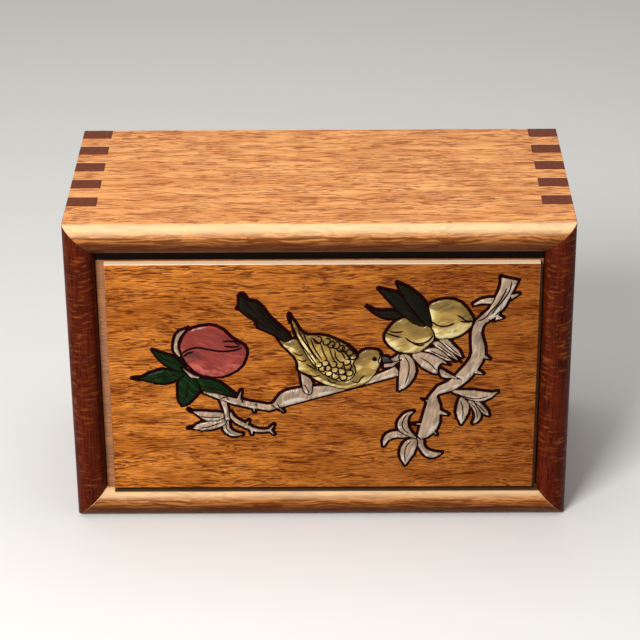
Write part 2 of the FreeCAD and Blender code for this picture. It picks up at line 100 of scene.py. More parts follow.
# Lines cut into the shell, in millimetres from the middle of the front's field, x to the right and z up
CUT_LINES = {
    "wing_feathers": (
        ((-15, 31.5), (-13.25, 26.25), (-10.75, 20.25), (-7.25, 14.75), (-3.75, 9.25)),
        ((-12.25, 28.25), (-10, 23.25), (-6.5, 17.25), (-2.5, 10.25)),
        ((-9.75, 26.5), (-7.75, 21.25), (-4.75, 15.25), (-1.25, 10.25)),
        ((-6, 23.25), (-3.75, 17.25), (-0.25, 11.25)),
        ((-1, 20.75), (0.25, 16.25), (2.75, 10.25)),
        ((3.25, 18.25), (4.75, 13.25), (6.25, 10.25)),
        ((-5.5, 23.5), (-2.5, 21.25), (-1, 20)),
        ((6, 16.75), (6.75, 12.25), (8.5, 10.25)),
        ((6.5, 17.25), (9.5, 15.25), (11.25, 11.25)),
        ((8, 17.5), (11.25, 15), (14, 10.75)),
    ),
    "body_lines": (
        ((-8.25, 9), (-5.25, 6.75), (-2.75, 4.5)),
        ((-11.75, 4.75), (-7.5, 2.75), (-4, 2), (-1, 2.75)),
        ((2.25, 0.5), (4, -1.5), (7, -2)),
        ((14.25, -1), (17.5, -1.25), (19.25, 1.25), (21, 2.5)),
        ((-12.75, 11.5), (-9.75, 10.5), (-7.75, 11.5)),
        ((-14.75, 15.5), (-11.75, 14), (-9.25, 14)),
        ((28, 15), (28.5, 13), (27.5, 10.75), (28, 8.5)),
    ),
    "tail_lines": (
        ((-38.25, 43.25), (-32.5, 37), (-25.75, 30), (-19.5, 23.25)),
        ((-39.75, 40.5), (-33.5, 34.25), (-26.75, 28.75)),
        ((-33.5, 41.5), (-28.75, 36), (-23, 29.25), (-17.5, 23.75)),
    ),
    "red_peach_lines": (
        ((-70, 14.75), (-66.75, 17.25), (-62, 18.5), (-57, 17.5), (-50.75, 16.5), (-44.5, 16.75),
         (-39.75, 18.25)),
        ((-49.5, 21.75), (-45.75, 21.75), (-40.75, 20.5)),
        ((-48.75, 19.25), (-45.25, 18.75), (-40.75, 19)),
        ((-69.25, 13), (-66.75, 15.25), (-63.75, 16.25)),
    ),
    "gold_peach_lines": (
        ((53.5, 32.5), (56, 30.5), (58.75, 29.75), (62.25, 30.25), (65, 31.75)),
        ((66.25, 35.75), (68.5, 34.5), (70.5, 32.75), (74, 32.5)),
        ((67.75, 32.5), (70.5, 32), (74, 32)),
        ((40.75, 23.75), (43.75, 21.25), (47.75, 20.25), (51.5, 21.25), (55, 24.75)),
        ((32.75, 27), (36.25, 26.5), (39.75, 27)),
        ((31.5, 25.75), (34.75, 24.75), (38.75, 23.75)),
        ((44.25, 20.5), (47.75, 19.25), (50.5, 19.5)),
    ),
    "leaf_ribs": (
        ((-86, 1), (-81, 1.75), (-75, 2.75), (-70.5, 4.25)),
        ((-81.5, 13.75), (-76.75, 11), (-72, 8.5)),
        ((-69.5, -11.25), (-67.75, -5.75), (-67, 0)),
        ((-61.25, -3), (-56.25, -4.25), (-49.5, -6.25)),
        ((40.25, 13.25), (42.5, 9.5), (42.75, 4.5), (40.75, -3.25)),
        ((48.25, 12.5), (53.25, 9), (56.75, 4.5)),
        ((53.25, 16), (58, 13.75), (62.75, 11)),
        ((56.5, 19.5), (61, 15.75), (65.5, 12)),
        ((60, 20.75), (63.5, 17.5), (67.5, 13.75)),
        ((66, -7.75), (71, -10), (77, -11), (83, -9.75)),
        ((68.75, -12), (70, -16.5), (70, -22.75)),
        ((74, -13.75), (76.75, -17.75), (77.5, -22.75)),
        ((76, -13.5), (78.75, -16), (81.5, -19.25)),
        ((44.25, -35.25), (41.75, -39), (41.25, -43.5), (41.5, -47.75)),
        ((42.5, -19.75), (40.25, -23.25), (40, -27.25), (43.25, -31.25)),
        ((-62.25, -20.5), (-57.25, -21.25), (-50.75, -21)),
        ((-62.5, -27.5), (-57.5, -26.5), (-51.25, -24.25)),
        ((-48.75, -23.5), (-48.75, -27.5), (-46.5, -30.75)),
    ),
    "branch_lines": (
        ((92.5, 54), (91.5, 49), (88.5, 43.75), (84.75, 38.75), (83.25, 36)),
        ((90.25, 50.5), (88.75, 47), (86.5, 42.5), (82.75, 37.75), (79.5, 33.75), (76.5, 32.25)),
        ((84.75, 35.25), (87.25, 37.5), (90, 39)),
        ((81.5, 33.25), (83, 32.25), (84.25, 33)),
        ((-51, -10.5), (-49.5, -10), (-47, -10.25)),
        ((-41.25, -9.75), (-40.25, -11.25), (-41, -12.75)),
        ((-26, -13.75), (-23.5, -16.25), (-21, -17.75)),
        ((-23, -13.5), (-21, -16.25), (-18, -16.75)),
        ((-34, -13.25), (-33, -15)),
        ((-9.5, -2.5), (-8, -4.75), (-7, -7.75)),
    ),
}
# Width of each group of lines against the line width setting
LINE_SHARE = {
    "red_peach_lines": 1.5, "gold_peach_lines": 1.25, "leaf_ribs": 0.85, "tail_lines": 0.8,
    "shoulder_feathers": 1.15, "wing_feathers": 1.15,
}
# Long dark ends of the mastic past the tips of shells: start, end and half width
LONG_ENDS = (
    ((-90.0, 0.6), (-96.4, 0.7), 1.8),
    ((-15.0, 30.8), (-16.7, 37.4), 2.0),
    ((-65.2, -18.6), (-68.8, -16.6), 1.7),
    ((-65.0, -27.5), (-69.4, -28.1), 1.7),
    ((-37.9, 44.0), (-40.5, 48.2), 2.5),
    ((-38.6, 40.3), (-43.0, 38.9), 2.0),
    ((-31.0, 31.8), (-33.8, 29.8), 1.5),
    ((-25.3, -26.5), (-25.6, -30.6), 1.6),
    ((-70.0, -12.0), (-71.8, -15.0), 1.4),
)
# Middles of the small feathers on the bird's shoulder and back
SCALES = (
    (-2, 8.5), (1.25, 9.5), (5.25, 8.75), (8.5, 8.5), (12, 10), (-0.25, 6.25), (2.5, 6.75), (6, 5.75),
    (9.5, 4.75), (12.5, 7.25), (3, 3.5), (6.25, 1.75), (10.25, 1.25), (13.25, 3.75), (-2.25, 22.25),
    (2, 21.25), (4.25, 19.75), (6.75, 19.25), (9, 17.5), (11.5, 17.75), (13.5, 15.25), (15.25, 13),
)
BIRD_EYE = (25.75, 11.75)
UPPER_BEAK = (32, 11)
LOWER_BEAK = (33, 8)
BIRD_LEG = (-8, -3)


def colour_setting(name, words, hex_code):
    """A colour that a user can change, given as an sRGB hex value."""
    return bpy.props.FloatVectorProperty(
        name=name, description=words, subtype="COLOR", size=4, min=0, max=1, default=linear(hex_code))


def length_setting(name, words, millimetres):
    """A length that a user can change, in metres."""
    return bpy.props.FloatProperty(
        name=name, description=words, subtype="DISTANCE", unit="LENGTH", min=0, precision=5,
        default=millimetres * MM)


def linear(hex_code):
    """An sRGB hex value as linear red, green, blue and alpha."""
    channels = [int(hex_code[i:i + 2], 16) / 255 for i in (0, 2, 4)]
    return tuple(c / 12.92 if c <= 0.04045 else ((c + 0.055) / 1.055) ** 2.4 for c in channels) + (1.0,)


class ChestWood(bpy.types.PropertyGroup):
    """Colours of the woods and how far their edges are softened."""
    top_light: colour_setting("Case light", "Pale wood between the streaks of the case", "FAB068")
    top_dark: colour_setting("Case dark", "Streaks of the case", "8E4212")
    # The side boards are the same wood as the top and foot, their colours painted much darker as shade
    shaded_side_light: colour_setting("Side light", "Wood between the streaks of the side boards", "66200A")
    shaded_side_dark: colour_setting("Side dark", "Streaks of the side boards", "2E0A02")
    end_grain: colour_setting("End grain", "Ends of the fingers", "6E3014")
    front_light: colour_setting("Front light", "Golden wood of the lift-out front", "FF9E42")
    front_dark: colour_setting("Front dark", "Streaks of the lift-out front", "541402")
    inner_light: colour_setting("Inner light", "Plain wood of drawers and back", "C9A06C")
    inner_dark: colour_setting("Inner dark", "Streaks of the plain wood", "8E6238")
    edge: length_setting("Edge", "Width of the softened edges", 0.25)


class ChestInlay(bpy.types.PropertyGroup):
    """Colours and crown of the shell, and the mastic round it."""
    pink: colour_setting("Pink shell", "Dyed shell of the red peach", "A03A30")
    gold: colour_setting("Gold shell", "Golden shell of the bird and two peaches", "D0A246")
    silver: colour_setting("Silver shell", "Silver-grey shell of branches and leaves", "BC9E82")
    green: colour_setting("Green shell", "Very dark green shell of leaves and tail", "0A2608")
    black_green: colour_setting("Black-green shell", "Almost black shell of tail and upper leaves", "141205")
    smoked: colour_setting("Smoked shell", "Dark grey shell of the upper beak", "4A4440")
    mastic: colour_setting("Mastic", "Dark cement round the shell", "1A0306")
    crown: length_setting("Crown", "How far the middle of a wide piece rises above its rim", 1.1)
    crown_reach: length_setting("Crown reach", "Distance over which the rim rises", 7.0)
    cut: length_setting("Crown cut", "Spacing of the cuts that let the shell bend", 1.1)
    line_width: length_setting("Line width", "Width of the lines cut into the shell", 0.7)
    smear: length_setting("Mastic smear", "How far the mastic spreads over the wood round the pocket", 0.45)


class ChestStage(bpy.types.PropertyGroup):
    """Camera and floor."""
    focal_length: bpy.props.FloatProperty(
        name="Focal length", description="Lens for a sensor 36 mm wide", default=130.4, min=1)
    pitch: bpy.props.FloatProperty(
        name="Pitch", description="How far the camera looks down", subtype="ANGLE",
        default=math.radians(26.63))
    yaw: bpy.props.FloatProperty(
        name="Yaw", description="How far the camera turns to its left", subtype="ANGLE",
        default=math.radians(0.456))
    roll: bpy.props.FloatProperty(
        name="Roll", description="How far the camera leans", subtype="ANGLE", default=math.radians(-0.436))
    place: bpy.props.FloatVectorProperty(
        name="Place", description="Where the camera stands", subtype="XYZ",
        default=(8.28 * MM, -1080.93 * MM, 623.47 * MM))
    floor_colour: colour_setting("Floor", "Pale floor", "E9E7E3")


# Small helpers for objects

def only(piece):
    """Makes a piece the one that is selected and active."""
    bpy.ops.object.select_all(action="DESELECT")
    piece.select_set(True)
    bpy.context.view_layer.objects.active = piece


def worked_copy(node):
    """A copy of a CAD node as one closed skin with whole flat faces, which stands for the node."""
    only(frame["nodes"][node])
    bpy.ops.object.duplicate()
    piece = bpy.context.view_layer.objects.active
    piece.name = node + "-finished"
    del piece["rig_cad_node"]
    piece.data.name = piece.name
    piece.data.materials.clear()
    bpy.ops.object.mode_set(mode="EDIT")
    bpy.ops.mesh.select_all(action="SELECT")
    bpy.ops.mesh.remove_doubles(threshold=0.002 * MM)
    bpy.ops.mesh.dissolve_limited(angle_limit=math.radians(0.5))
    bpy.ops.mesh.customdata_custom_splitnormals_clear()
    bpy.ops.object.mode_set(mode="OBJECT")
    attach(piece, BODY_OF[node])
    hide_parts(node)
    return piece


def apply_all(piece):
    """Applies every modifier of a piece."""
    only(piece)
    for modifier in list(piece.modifiers):
        bpy.ops.object.modifier_apply(modifier=modifier.name)


def pick_faces(piece, wanted):
    """Opens a piece for editing with just those faces selected that are wanted."""
    only(piece)
    bpy.ops.object.mode_set(mode="EDIT")
    bpy.ops.mesh.select_mode(type="FACE")
    bpy.ops.mesh.select_all(action="DESELECT")
    bpy.ops.object.mode_set(mode="OBJECT")
    for face in piece.data.polygons:
        face.select = wanted(face)
    bpy.ops.object.mode_set(mode="EDIT")


def empty_curve(name):
    """A curve at the origin on which nothing is drawn yet."""
    bpy.ops.object.select_all(action="DESELECT")
    bpy.ops.curve.primitive_bezier_curve_add(location=(0, 0, 0))
    drawn = bpy.context.view_layer.objects.active
    drawn.name = name
    drawn.data.splines.clear()
    return drawn


def draw_stroke(drawn, places, y):
    """Draws a smooth stroke through places of the drawing, in millimetres, and returns its points."""
    spline = drawn.data.splines.new("BEZIER")
    spline.bezier_points.add(len(places) - 1)
    for point, (x, z) in zip(spline.bezier_points, places):
        point.co = (FIELD_CENTRE[0] + x * MM, y, FIELD_CENTRE[1] + z * MM)
        point.handle_left_type = point.handle_right_type = "AUTO"
    return spline.bezier_points


def soften(piece, width, segments=2, angle=30):
    """Breaks the sharp edges of a piece and lets its round faces shade smoothly."""
    only(piece)
    bevel = piece.modifiers.new("edges", "BEVEL")
    bevel.width = width
    bevel.segments = segments
    bevel.limit_method = "ANGLE"
    bevel.angle_limit = math.radians(angle)
    bevel.harden_normals = False
    bpy.ops.object.shade_smooth_by_angle(angle=math.radians(angle))
    weighted = piece.modifiers.new("flat_faces", "WEIGHTED_NORMAL")
    weighted.keep_sharp = True
    apply_all(piece)


# Small helpers for materials

def add(tree, kind, inputs=None, **settings):
    """Adds a node with its settings, fixed values and links. A node given as a value links its output."""
    made = tree.nodes.new(kind)
    for name, value in settings.items():
        setattr(made, name, value)
    for key, value in (inputs or {}).items():
        if isinstance(value, bpy.types.Node):
            value = next(socket for socket in value.outputs if socket.enabled)
        if isinstance(value, bpy.types.NodeSocket):
            tree.links.new(value, made.inputs[key])
        else:
            made.inputs[key].default_value = value
    return made


def new_material(name):
    """An empty node material and its tree."""
    material = bpy.data.materials.new(name)
    material.use_nodes = True
    material.node_tree.nodes.clear()
    return material, material.node_tree


def shaded(tone, share):
    """A tone made darker by a share below 1, or lighter by one above it."""
    return tuple(min(channel * share, 1.0) for channel in tone[:3]) + (1.0,)


def blotches(tree, place, lengths, **details):
    """A pattern of soft blotches, as long, wide and high as the lengths say, in mm."""
    sized = add(tree, "ShaderNodeMapping", {
        "Vector": place, "Scale": tuple(1 / length for length in lengths)})
    return add(tree, "ShaderNodeTexNoise", {"Vector": sized, "Scale": 1.0, **details})


def swaying(tree, place, lengths, sway):
    """Places that sway to and fro by up to half of sway, in waves as large as the lengths say, in mm."""
    waves = blotches(tree, place, lengths, Detail=2.0)
    centred = add(tree, "ShaderNodeVectorMath", {0: waves.outputs["Color"], 1: (0.5,) * 3},
                  operation="SUBTRACT")
    return add(tree, "ShaderNodeVectorMath", {0: centred, 1: sway, 2: place}, operation="MULTIPLY_ADD")


def laid_over(tree, under, over, strength, *masks):
    """One tone laid over another, as strongly as all the masks let it.

    A mask is a value, where it starts to let the tone show and where it shows in full.
    """
    for value, start, full in masks:
        strength = add(tree, "ShaderNodeMapRange", {
            "Value": value, "From Min": start, "From Max": full, "To Max": strength})
    return add(tree, "ShaderNodeMix", {0: strength, 6: under, 7: over}, data_type="RGBA")


def wood(name, light, dark, end_tone, turn, shift, streak=(7.0, 1.0), cover=0.5, contrast=0.9,
         roughness=0.4, gloss=0.5, coat=0.6, coat_rough=0.16, clouded=0.6, drift=0.0, pores=0.0,
         ripple=None, rounding=None, shades=()):
    """Open-pored hardwood, scraped smooth under a thin satin lacquer.

    The eye sees short dark streaks in clusters along the grain, finer pores between them, slow bands and
    clouds of lighter and darker wood, and dull dark ends where the fibres are cut across. Real streaks are
    half a millimetre wide; they are drawn wider, or they would not show.

    streak is a streak's length and width in mm, contrast how dark streaks are, and cover the share of the
    face that their clusters take. clouded is how dark the clouds are, pores how dark the fine pores are, and
    drift how much darker the tone grows towards the right end. ripple is the tone of fine bars across the
    grain, and rounding the tone of the dark layers that a rounded edge lays bare.

    Each of shades is a tone, its strength and where it lies, such as painted shadow in a recess or a painted
    highlight along a rounding: ramps, or None for no limit, on how far back and how high a place is, how far
    it faces up and back and, if given, how far right it is.
    """
    material, tree = new_material(name)
    where = add(tree, "ShaderNodeTexCoord")
    grain = add(tree, "ShaderNodeMapping", {
        "Vector": where.outputs["Object"], "Rotation": turn, "Scale": (1 / MM,) * 3, "Location": shift})
    bent = swaying(tree, grain, (30.0, 12.0, 12.0), (0.0, 6.0, 6.0))
    bands = blotches(tree, bent, (110.0, 6.0, 6.0), Detail=3.0)
    clouds = blotches(tree, bent, (36.0, 11.0, 11.0), Detail=3.0)
    clusters = blotches(tree, bent, (24.0, 4.5, 4.5), Detail=3.0)
    lines = blotches(tree, bent, (2.8 * streak[0], streak[1], streak[1]), Detail=3.0, Roughness=0.6)
    streaks = blotches(tree, bent, (streak[0], streak[1], streak[1]), Detail=2.0, Roughness=0.6)
    line_mask = add(tree, "ShaderNodeMapRange", {"Value": lines, "From Min": 0.46, "From Max": 0.62})
    cluster_mask = add(tree, "ShaderNodeMapRange", {
        "Value": clusters, "From Min": 0.62 - 0.3 * cover, "From Max": 0.74 - 0.3 * cover})
    streak_mask = add(tree, "ShaderNodeMapRange", {
        "Value": streaks, "From Min": 0.5, "From Max": 0.58, "To Max": cluster_mask})

    # Between light and dark, and redder than both
    middle = tuple((a + b) * share for a, b, share in zip(light, dark, (0.5, 0.43, 0.3, 0.5)))
    tone = laid_over(tree, light, middle, 0.45, (bands, 0.4, 0.62))
    tone = laid_over(tree, tone, middle, clouded, (clouds, 0.45, 0.66))
    tone = laid_over(tree, tone, dark, 0.6 * contrast, (line_mask, 0.0, 1.0))
    tone = laid_over(tree, tone, dark, 0.9 * contrast, (streak_mask, 0.0, 1.0))
    if pores:
        fine = blotches(tree, bent, (5.0, 0.4, 0.4), Detail=1.0)
        tone = laid_over(tree, tone, dark, pores, (fine, 0.48, 0.62))
    if ripple:
        bars = blotches(tree, bent, (1.6, 7.0, 7.0), Detail=2.0)
        tone = laid_over(tree, tone, ripple, 0.55, (bars, 0.52, 0.7), (clouds, 0.35, 0.6))
    place = add(tree, "ShaderNodeSeparateXYZ", {0: where.outputs["Object"]})
    right, back, up = place.outputs
    facing = add(tree, "ShaderNodeSeparateXYZ", {0: where.outputs["Normal"]})
    faces_back, faces_up = facing.outputs[1:]
    if drift:
        tone = laid_over(tree, tone, dark, drift, (right, -110 * MM, 110 * MM))
    if rounding:
        layers = blotches(tree, bent, (36.0, 1.2, 1.2), Detail=3.0)
        tone = laid_over(tree, tone, rounding, 0.85, (layers, 0.47, 0.56), (faces_back, -0.62, -0.95))

    turned = add(tree, "ShaderNodeMapping", {"Vector": where.outputs["Normal"], "Rotation": turn})
    turned = add(tree, "ShaderNodeSeparateXYZ", {0: turned})
    cut_across = add(tree, "ShaderNodeMath", {0: turned.outputs[0]}, operation="ABSOLUTE")
    rings = blotches(tree, grain, (4.0, 0.9, 0.9), Detail=2.0)
    ends = laid_over(tree, end_tone, shaded(end_tone, 0.6), 1.0, (rings, 0.4, 0.65))
    tone = laid_over(tree, tone, ends, 1.0, (cut_across, 0.75, 0.9))
    for shade, strength, ramps in shades:
        values = zip((back, up, faces_up, faces_back, right), ramps)
        tone = laid_over(tree, tone, shade, strength, *((value, *ramp) for value, ramp in values if ramp))

    relief = add(tree, "ShaderNodeMath", {0: streak_mask, 1: line_mask}, operation="ADD")
    bump = add(tree, "ShaderNodeBump", {
        "Height": relief, "Strength": 0.3, "Distance": 0.05 * MM}, invert=True)
    rough = add(tree, "ShaderNodeMapRange", {
        "Value": relief, "From Max": 2.0, "To Min": roughness, "To Max": roughness + 0.2})
    shader = add(tree, "ShaderNodeBsdfPrincipled", {
        "Base Color": tone, "Roughness": rough, "Normal": bump, "IOR": 1.5, "Specular IOR Level": gloss,
        "Coat Weight": coat, "Coat Roughness": coat_rough, "Coat IOR": 1.5})
    add(tree, "ShaderNodeOutputMaterial", {0: shader})
    return material


def pearl(name, tone, angle, streak=(9.0, 1.1), gloss=0.4, coat=0.3, lift=1.7, upper=0.85, deep=0.6,
          painted_sheen=None, cleft_shade=None):
    """Polished mother-of-pearl: soft bright streaks that run one way, under a clear gloss.

    Light and shade are painted on by how the face leans: upper is how dark the upper slopes of the crown are
    painted, as painted shade, and painted_sheen the tone and strength of the bands of painted sheen on the
    slopes that face down. lift is how bright the streaks are, deep how dark the clouds in the shell are, and
    angle how far the streaks are turned, in degrees.
    cleft_shade is the tone of a spot of painted shade, its place in the drawing and its reach in mm.
    """
    material, tree = new_material(name)
    where = add(tree, "ShaderNodeTexCoord")
    flat = add(tree, "ShaderNodeMapping", {
        "Vector": where.outputs["Object"], "Rotation": (0.0, math.radians(angle), 0.0),
        "Scale": (1 / MM,) * 3})
    bent = swaying(tree, flat, (14.0, 9.0, 14.0), (0.0, 0.0, 7.0))
    streaks = blotches(tree, bent, (streak[0], streak[0], streak[1]), Detail=3.0)
    clouds = blotches(tree, bent, (8.0, 8.0, 5.0), Detail=1.0)
    colour = laid_over(tree, shaded(tone, deep), tone, 1.0, (clouds, 0.36, 0.6))
    colour = laid_over(tree, colour, shaded(tone, lift), 0.7, (streaks, 0.5, 0.7))
    facing = add(tree, "ShaderNodeSeparateXYZ", {0: where.outputs["Normal"]})
    faces_up = facing.outputs[2]
    # Painted shade: the upper slopes of the crown are made darker, by the share upper
    shade = add(tree, "ShaderNodeMapRange", {
        "Value": faces_up, "From Min": 0.1, "From Max": -0.1, "To Min": upper, "To Max": 1.0})
    colour = add(tree, "ShaderNodeVectorMath", {0: colour, 1: shade}, operation="MULTIPLY")
    # Painted sheen: bands of painted light on the slopes that face down
    if painted_sheen:
        bands = blotches(tree, bent, (streak[0], streak[0], 2.6 * streak[1]), Detail=2.0)
        colour = laid_over(tree, colour, *painted_sheen, (bands, 0.42, 0.56), (faces_up, 0.01, -0.09))
    # Painted shade: a dark spot round a place in the drawing
    if cleft_shade:
        cleft_shade_tone, (x, z), reach = cleft_shade
        wide, high = 0.7 / MM, 1.6 / MM
        spot = add(tree, "ShaderNodeMapping", {
            "Vector": where.outputs["Object"], "Scale": (wide, 0.0, high),
            "Location": (-wide * (FIELD_CENTRE[0] + x * MM), 0.0, -high * (FIELD_CENTRE[1] + z * MM))})
        away = add(tree, "ShaderNodeVectorMath", {0: spot}, operation="LENGTH")
        colour = laid_over(tree, colour, cleft_shade_tone, 0.7, (away, reach, 0.2 * reach))
    bump = add(tree, "ShaderNodeBump", {"Height": streaks, "Strength": 0.15, "Distance": 0.05 * MM})
    shader = add(tree, "ShaderNodeBsdfPrincipled", {
        "Base Color": colour, "Roughness": 0.28, "Normal": bump, "IOR": 1.53, "Specular IOR Level": gloss,
        "Coat Weight": coat, "Coat Roughness": 0.1})
    add(tree, "ShaderNodeOutputMaterial", {0: shader})
    return material


def cement(name, tone):
    """Dark mastic, filed level and dull, with faint grit."""
    material, tree = new_material(name)
    where = add(tree, "ShaderNodeTexCoord")
    place = add(tree, "ShaderNodeMapping", {"Vector": where.outputs["Object"], "Scale": (1 / MM,) * 3})
    grit = blotches(tree, place, (0.4, 0.4, 0.4), Detail=2.0)
    colour = laid_over(tree, tone, shaded(tone, 2.2), 1.0, (grit, 0.45, 0.75))
    bump = add(tree, "ShaderNodeBump", {"Height": grit, "Strength": 0.3, "Distance": 0.05 * MM})
    shader = add(tree, "ShaderNodeBsdfPrincipled", {
        "Base Color": colour, "Roughness": 0.55, "Normal": bump, "Specular IOR Level": 0.03})
    add(tree, "ShaderNodeOutputMaterial", {0: shader})
    return material


def turned_brass(name):
    """Brass turned on a lathe: fine rings, a little dulled."""
    material, tree = new_material(name)
    where = add(tree, "ShaderNodeTexCoord")
    place = add(tree, "ShaderNodeMapping", {"Vector": where.outputs["Object"], "Scale": (1 / MM,) * 3})
    rings = blotches(tree, place, (6.0, 0.25, 6.0), Detail=1.0)
    stains = blotches(tree, place, (3.0, 3.0, 3.0), Detail=3.0)
    colour = laid_over(tree, linear("C39A4A"), linear("8A6428"), 1.0, (stains, 0.4, 0.75))
    bump = add(tree, "ShaderNodeBump", {"Height": rings, "Strength": 0.2, "Distance": 0.03 * MM})
    rough = add(tree, "ShaderNodeMapRange", {"Value": stains, "To Min": 0.2, "To Max": 0.45})
    shader = add(tree, "ShaderNodeBsdfPrincipled", {
        "Base Color": colour, "Metallic": 1.0, "Roughness": rough, "Normal": bump})
    add(tree, "ShaderNodeOutputMaterial", {0: shader})
    return material


class ChestCase(bpy.types.Operator):
    """Finish the case: four rounded boards, back panel, shelf and divider"""
    bl_idname = "chest.case"
    bl_label = "Case"

    def execute(self, context):
        woods = context.scene.chest_wood
        # Painted highlight along the top of the roundings, a warmer, darker tone below it and painted shade
        # on the half that faces down
        painted_crest_highlight = (linear("FFE2B0"), 0.55, (None, None, (0.3, 0.7), (-0.02, -0.3)))
        warm = (linear("A85A0A"), 0.3, (None, None, (0.8, 0.5), (-0.3, -0.6)))
        lower = (linear("4E1802"), 0.82, (None, None, (0.35, -0.25), (-0.4, -0.6)))
        # Painted shadow: a dark line in the foot's rounding, close under the field and no further left than
        # it
        painted_shadow_under_field = (linear("240A04"), 0.95, (
            (FACE_Y - 0.45 * MM, FACE_Y + 0.15 * MM), (11.0 * MM, 11.6 * MM), (0.2, 0.4), (-0.02, -0.15),
            (FIELD_LEFT - 0.6 * MM, FIELD_LEFT)))
        look = {"cover": 0.75, "pores": 0.18, "gloss": 0.08, "coat": 0.14, "coat_rough": 0.28,
                "rounding": linear("4A1A04")}
        top = wood("rosewood_top", woods.top_light, woods.top_dark, woods.end_grain, GRAIN_X, (0, 0, 0),
                   streak=(8.0, 1.2), shades=(painted_crest_highlight, warm, lower), **look)
        foot = wood("rosewood_foot", woods.top_light, woods.top_dark, woods.end_grain, GRAIN_X, (71, 5, 9),
                    streak=(8.0, 1.0), shades=(painted_crest_highlight, warm, lower, painted_shadow_under_field), **look)
        # Painted shade: the side boards take a much darker copy of the case's wood
        side = wood("rosewood_side", woods.shaded_side_light, woods.shaded_side_dark, woods.end_grain, GRAIN_Z, (31, 7, 5),
                    streak=(9.0, 0.9), gloss=0.05, coat=0.04, ripple=linear("B4622A"))
        plain = wood("plain_inner", woods.inner_light, woods.inner_dark, woods.inner_dark, GRAIN_X, (3, 9, 2),
                     contrast=0.4, roughness=0.5, coat=0.0)
        for node in CASE_BOARDS + INNER_BOARDS:
            piece = worked_copy(node)
            soften(piece, woods.edge)
            if node in INNER_BOARDS:
                piece.data.materials.append(plain)
            else:
                piece.data.materials.append({"top_board": top, "bottom_board": foot}.get(node, side))
        return {"FINISHED"}


class ChestFront(bpy.types.Operator):
    """Finish the lift-out front and its mastic bed"""
    bl_idname = "chest.front"
    bl_label = "Lift-out front"

    def execute(self, context):
        woods = context.scene.chest_wood
        inlay = context.scene.chest_inlay
        front = worked_copy("lift_out_front")
        bed = worked_copy("mastic_bed")
        points = pointed_ends(bed)
        for piece in (bed, front):
            blunt(piece, points)
        soften(front, woods.edge * 0.4, segments=1, angle=50)
        # Painted light on the ledge over the field, a duller tone on the plate beside it and painted shadow
        # on the plate above it
        on_plate = (PLATE_Y - 0.65 * MM, PLATE_Y - 0.25 * MM)
        before_plate = (PLATE_Y - 0.65 * MM, PLATE_Y - 1.65 * MM)
        over_field = (FIELD_TOP - 0.1 * MM, FIELD_TOP + 0.4 * MM)
        forwards = (0.0, -0.5)
        painted_ledge_light = (linear("FFE2BC"), 1.0, (before_plate, None, (0.2, 0.6), None))
        margin = (linear("B08468"), 0.6, (on_plate, None, None, forwards))
        painted_gap_shadow = (linear("0A0301"), 1.0, (on_plate, over_field, None, forwards))
        front.data.materials.append(wood(
            "golden_front", woods.front_light, woods.front_dark, woods.end_grain, GRAIN_X, (17, 3, 11),
            streak=(9.0, 0.65), cover=0.75, gloss=0.06, coat=0.03, clouded=0.85, drift=0.5, pores=0.38,
            shades=(painted_ledge_light, margin, painted_gap_shadow)))
        fill_flush(bed, inlay.smear)
        long_ends = lay_long_ends()
        for piece in (bed, long_ends):
            piece.data.materials.append(cement(piece.name, inlay.mastic))
        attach(long_ends, "front")
        return {"FINISHED"}


def pointed_ends(bed, border=1.2 * MM, past=1.5 * MM, bluntest=math.radians(80)):
    """Finds where the mastic, a border round each shell, runs out in a point past the shell's tip.

    Each end is its two corners between their neighbours, the apex where its sides would meet, the way that
    it points, how far back from the apex its round end is centred, and that end's radius.
    """
    points = [v.co for v in bed.data.vertices]
    top_y = min(p.y for p in points) + SAME_PLACE
    beside = {}
    walls = {}
    for face in bed.data.polygons:
        if abs(face.normal.y) < 0.5:
            for a, b in face.edge_keys:
                if points[a].y < top_y and points[b].y < top_y:
                    beside.setdefault(a, []).append(b)
                    beside.setdefault(b, []).append(a)
                    walls[a, b] = face.normal.copy()
    ends = []
    nearly_parallel = 0.02

    def note(a, b, before, after, normal):
        """Adds the end between corners a and b, if it is pointed and there is room to round it."""
        side_a = (points[before] - points[a]).normalized()
        side_b = (points[after] - points[b]).normalized()
        outward = -(side_a + side_b).normalized()
        half = side_a.angle(side_b) / 2
        if nearly_parallel < half < bluntest / 2 and outward.dot(normal) > 0:
            middle = (points[a] + points[b]) / 2
            apex = middle + outward * ((points[a] - points[b]).length / 2 / math.tan(half))
            back = (border / math.sin(half) - past) / (1 - math.tan(half))
            room = min((points[i] - apex).length for i in (before, after)) * math.cos(half)
            path = [points[i].copy() for i in (before, a, b, after)]
            if back < 0.97 * room:
                ends.append((path, apex, outward, back, back * math.tan(half)))

    for (a, b), normal in walls.items():
        if (points[a] - points[b]).length < TIP_WIDTH and len(beside[a]) == len(beside[b]) == 2:
            before = next(n for n in beside[a] if n != b)
            after = next(n for n in beside[b] if n != a)
            if before != after:
                note(a, b, before, after, normal)
    taken = [corner for end in ends for corner in end[0][1:3]]
    for a, pair in beside.items():
        if len(pair) == 2 and not any((points[a] - corner).length < SAME_PLACE for corner in taken):
            normal = sum((n for key, n in walls.items() if a in key), Vector())
            note(a, a, pair[0], pair[1], normal)
    return ends


